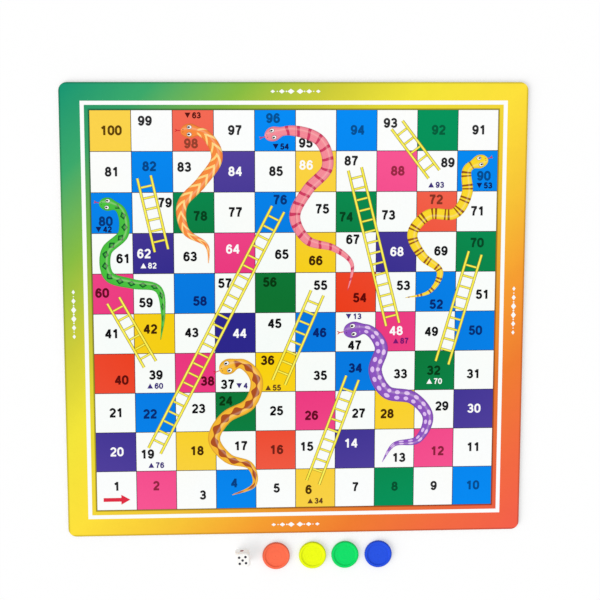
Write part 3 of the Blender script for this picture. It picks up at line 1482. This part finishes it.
def pip_paints():
    """Paint in the pips: red in the single one, dark in all others."""
    place, size = die_place()
    dark = ("pip_paint_dark", "dark_pips", "dark_pip_paint", srgb(14, 14, 42), range(2, len(PIPS) + 1), PIP_R)
    red = ("pip_paint_red", "red_pip", "red_pip_paint", srgb(140, 14, 28), [1], ONE_PIP_R)
    for name, node, slot, colour, which, radius in (dark, red):
        spots = [place @ pip for number in which for pip in pip_places(number, size)]
        points = mesh_of(name, [spot.translation for spot in spots])
        out = points.attributes.new("out", "FLOAT_VECTOR", "POINT")
        out.data.foreach_set("vector", [c for spot in spots for c in spot.to_3x3() @ Vector((0, 0, 1))])
        cap = piece("paint_cap", paint_cap(radius))
        made = grown(name, points, pip_tree(cap, pip_paint(name, colour)), {"Scale": 1.0})
        bpy.data.objects.remove(cap)
        ride_on(made, "die", slot, node)


# Paper parts that the frame carries over

def paint_nodes():
    """Gives each node that stays in sight its finish."""
    finishes = {"core": greyboard(), "backing_sheet": backing_paper(), "print_sheet": WHITE_PRINT}
    finishes.update({"border_band": BORDER_PRINT, "border_line": BORDER_LINE_PRINT, "grid_lines": LINE_PRINT})
    finishes.update({f"squares_{colour}": square_print(colour) for colour in SQUARES})
    for side in SIDES:
        for part, material in finishes.items():
            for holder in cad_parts[f"{side}_{part}"].material_slots:
                holder.material = material


# Stage

CAMERA_PLACE = (-64.502 * MM, 195.224 * MM, 1141.133 * MM)
CAMERA_TURN = (-0.148462, -0.058983, -0.008406)
PHOTO_W = 600
FOCAL_PX = 1474.28
SENSOR_W = 36
WHITE = (1, 1, 1, 1)
FLOOR_REACH = 6.0
FLOOR_CLOUD = 0.4
FLOOR_WHITE_SHARE = 0.35
SKY_STRENGTH = 0.727
LAMP_STRENGTH = 0.28
LAMP_HEIGHT = math.radians(30)
LAMP_WIDTH = math.radians(50)
LAMP_WAY = (1.0, 0.6, 0.0)


def camera():
    """The camera, where the photograph was taken from."""
    data = bpy.data.cameras.new("camera")
    made = placed("camera", data)
    made.location = CAMERA_PLACE
    made.rotation_mode = "ZYX"
    made.rotation_euler = CAMERA_TURN
    data.sensor_width = SENSOR_W
    data.lens = FOCAL_PX / PHOTO_W * SENSOR_W
    bpy.context.scene.camera = made


def seen_white(maker, share, surface, kind):
    """A surface with that share of plain white for rays from the camera, from gloss and through glass."""
    path = maker.node("ShaderNodeLightPath").outputs
    seen = Signal(maker, path["Is Camera Ray"])
    for name in ("Is Glossy Ray", "Is Transmission Ray"):
        seen = seen.larger(Signal(maker, path[name]))
    white = maker.node(kind, sockets={"Color": WHITE, "Strength": 1.0})
    return maker.node("ShaderNodeMixShader", sockets={0: seen * share, 1: surface, 2: white})


def floor():
    """A pale floor, seen near white, that keeps the object's shadow."""
    corners = [(x * FLOOR_REACH, y * FLOOR_REACH, 0) for x, y in ((-1, -1), (1, -1), (1, 1), (-1, 1))]
    maker = blank_material("floor")
    cloud = maker.noise(FLOOR_CLOUD) - 0.5
    pale = maker.toned(srgb(254, 254, 254), 1 + 0.01 * cloud)
    matt = maker.node("ShaderNodeBsdfDiffuse", sockets={"Color": pale})
    both = seen_white(maker, FLOOR_WHITE_SHARE, matt, "ShaderNodeEmission")
    maker.node("ShaderNodeOutputMaterial", sockets={"Surface": both})
    piece("floor", mesh_of("floor", corners, [(0, 1, 2, 3)]), maker.material)


def lights():
    """An even pale sky and a wide soft lamp, low on the near left, whose shadows fall to the far right."""
    world = bpy.data.worlds.new("studio")
    bpy.context.scene.world = world
    world.use_nodes = True
    world.node_tree.nodes.clear()
    maker = Maker(world.node_tree)
    sky = maker.node("ShaderNodeBackground", sockets={"Color": WHITE, "Strength": SKY_STRENGTH})
    both = seen_white(maker, 1.0, sky, "ShaderNodeBackground")
    maker.node("ShaderNodeOutputWorld", sockets={"Surface": both})
    data = bpy.data.lights.new("soft_lamp", "SUN")
    data.angle = LAMP_WIDTH
    data.energy = LAMP_STRENGTH * math.pi / math.sin(LAMP_HEIGHT)
    across = Vector(LAMP_WAY).normalized() * math.cos(LAMP_HEIGHT)
    way = across - Vector((0, 0, math.sin(LAMP_HEIGHT)))
    placed("soft_lamp", data).rotation_euler = way.to_track_quat("-Z", "Y").to_euler()


bpy.context.scene.view_settings.view_transform = "Standard"
MARK_PRINT = mark_print()
ORNAMENT_PRINT = white_print()
WHITE_PRINT = white_print()
BORDER_PRINT = border_print("print_border", 1.0)
BORDER_LINE_PRINT = border_print("print_border_line", 0.9)
LINE_PRINT = dark_line_print()
LADDER_PRINT = ladder_print()

camera()
lights()
floor()
paint_nodes()
hinge_strip()
crease()
border_ornaments()
ladders()
snakes()
numbers()
move_marks()
start_arrow()
for counter_colour in COUNTER_COLOURS:
    counter_disc(counter_colour)
die_cube()
pip_paints()
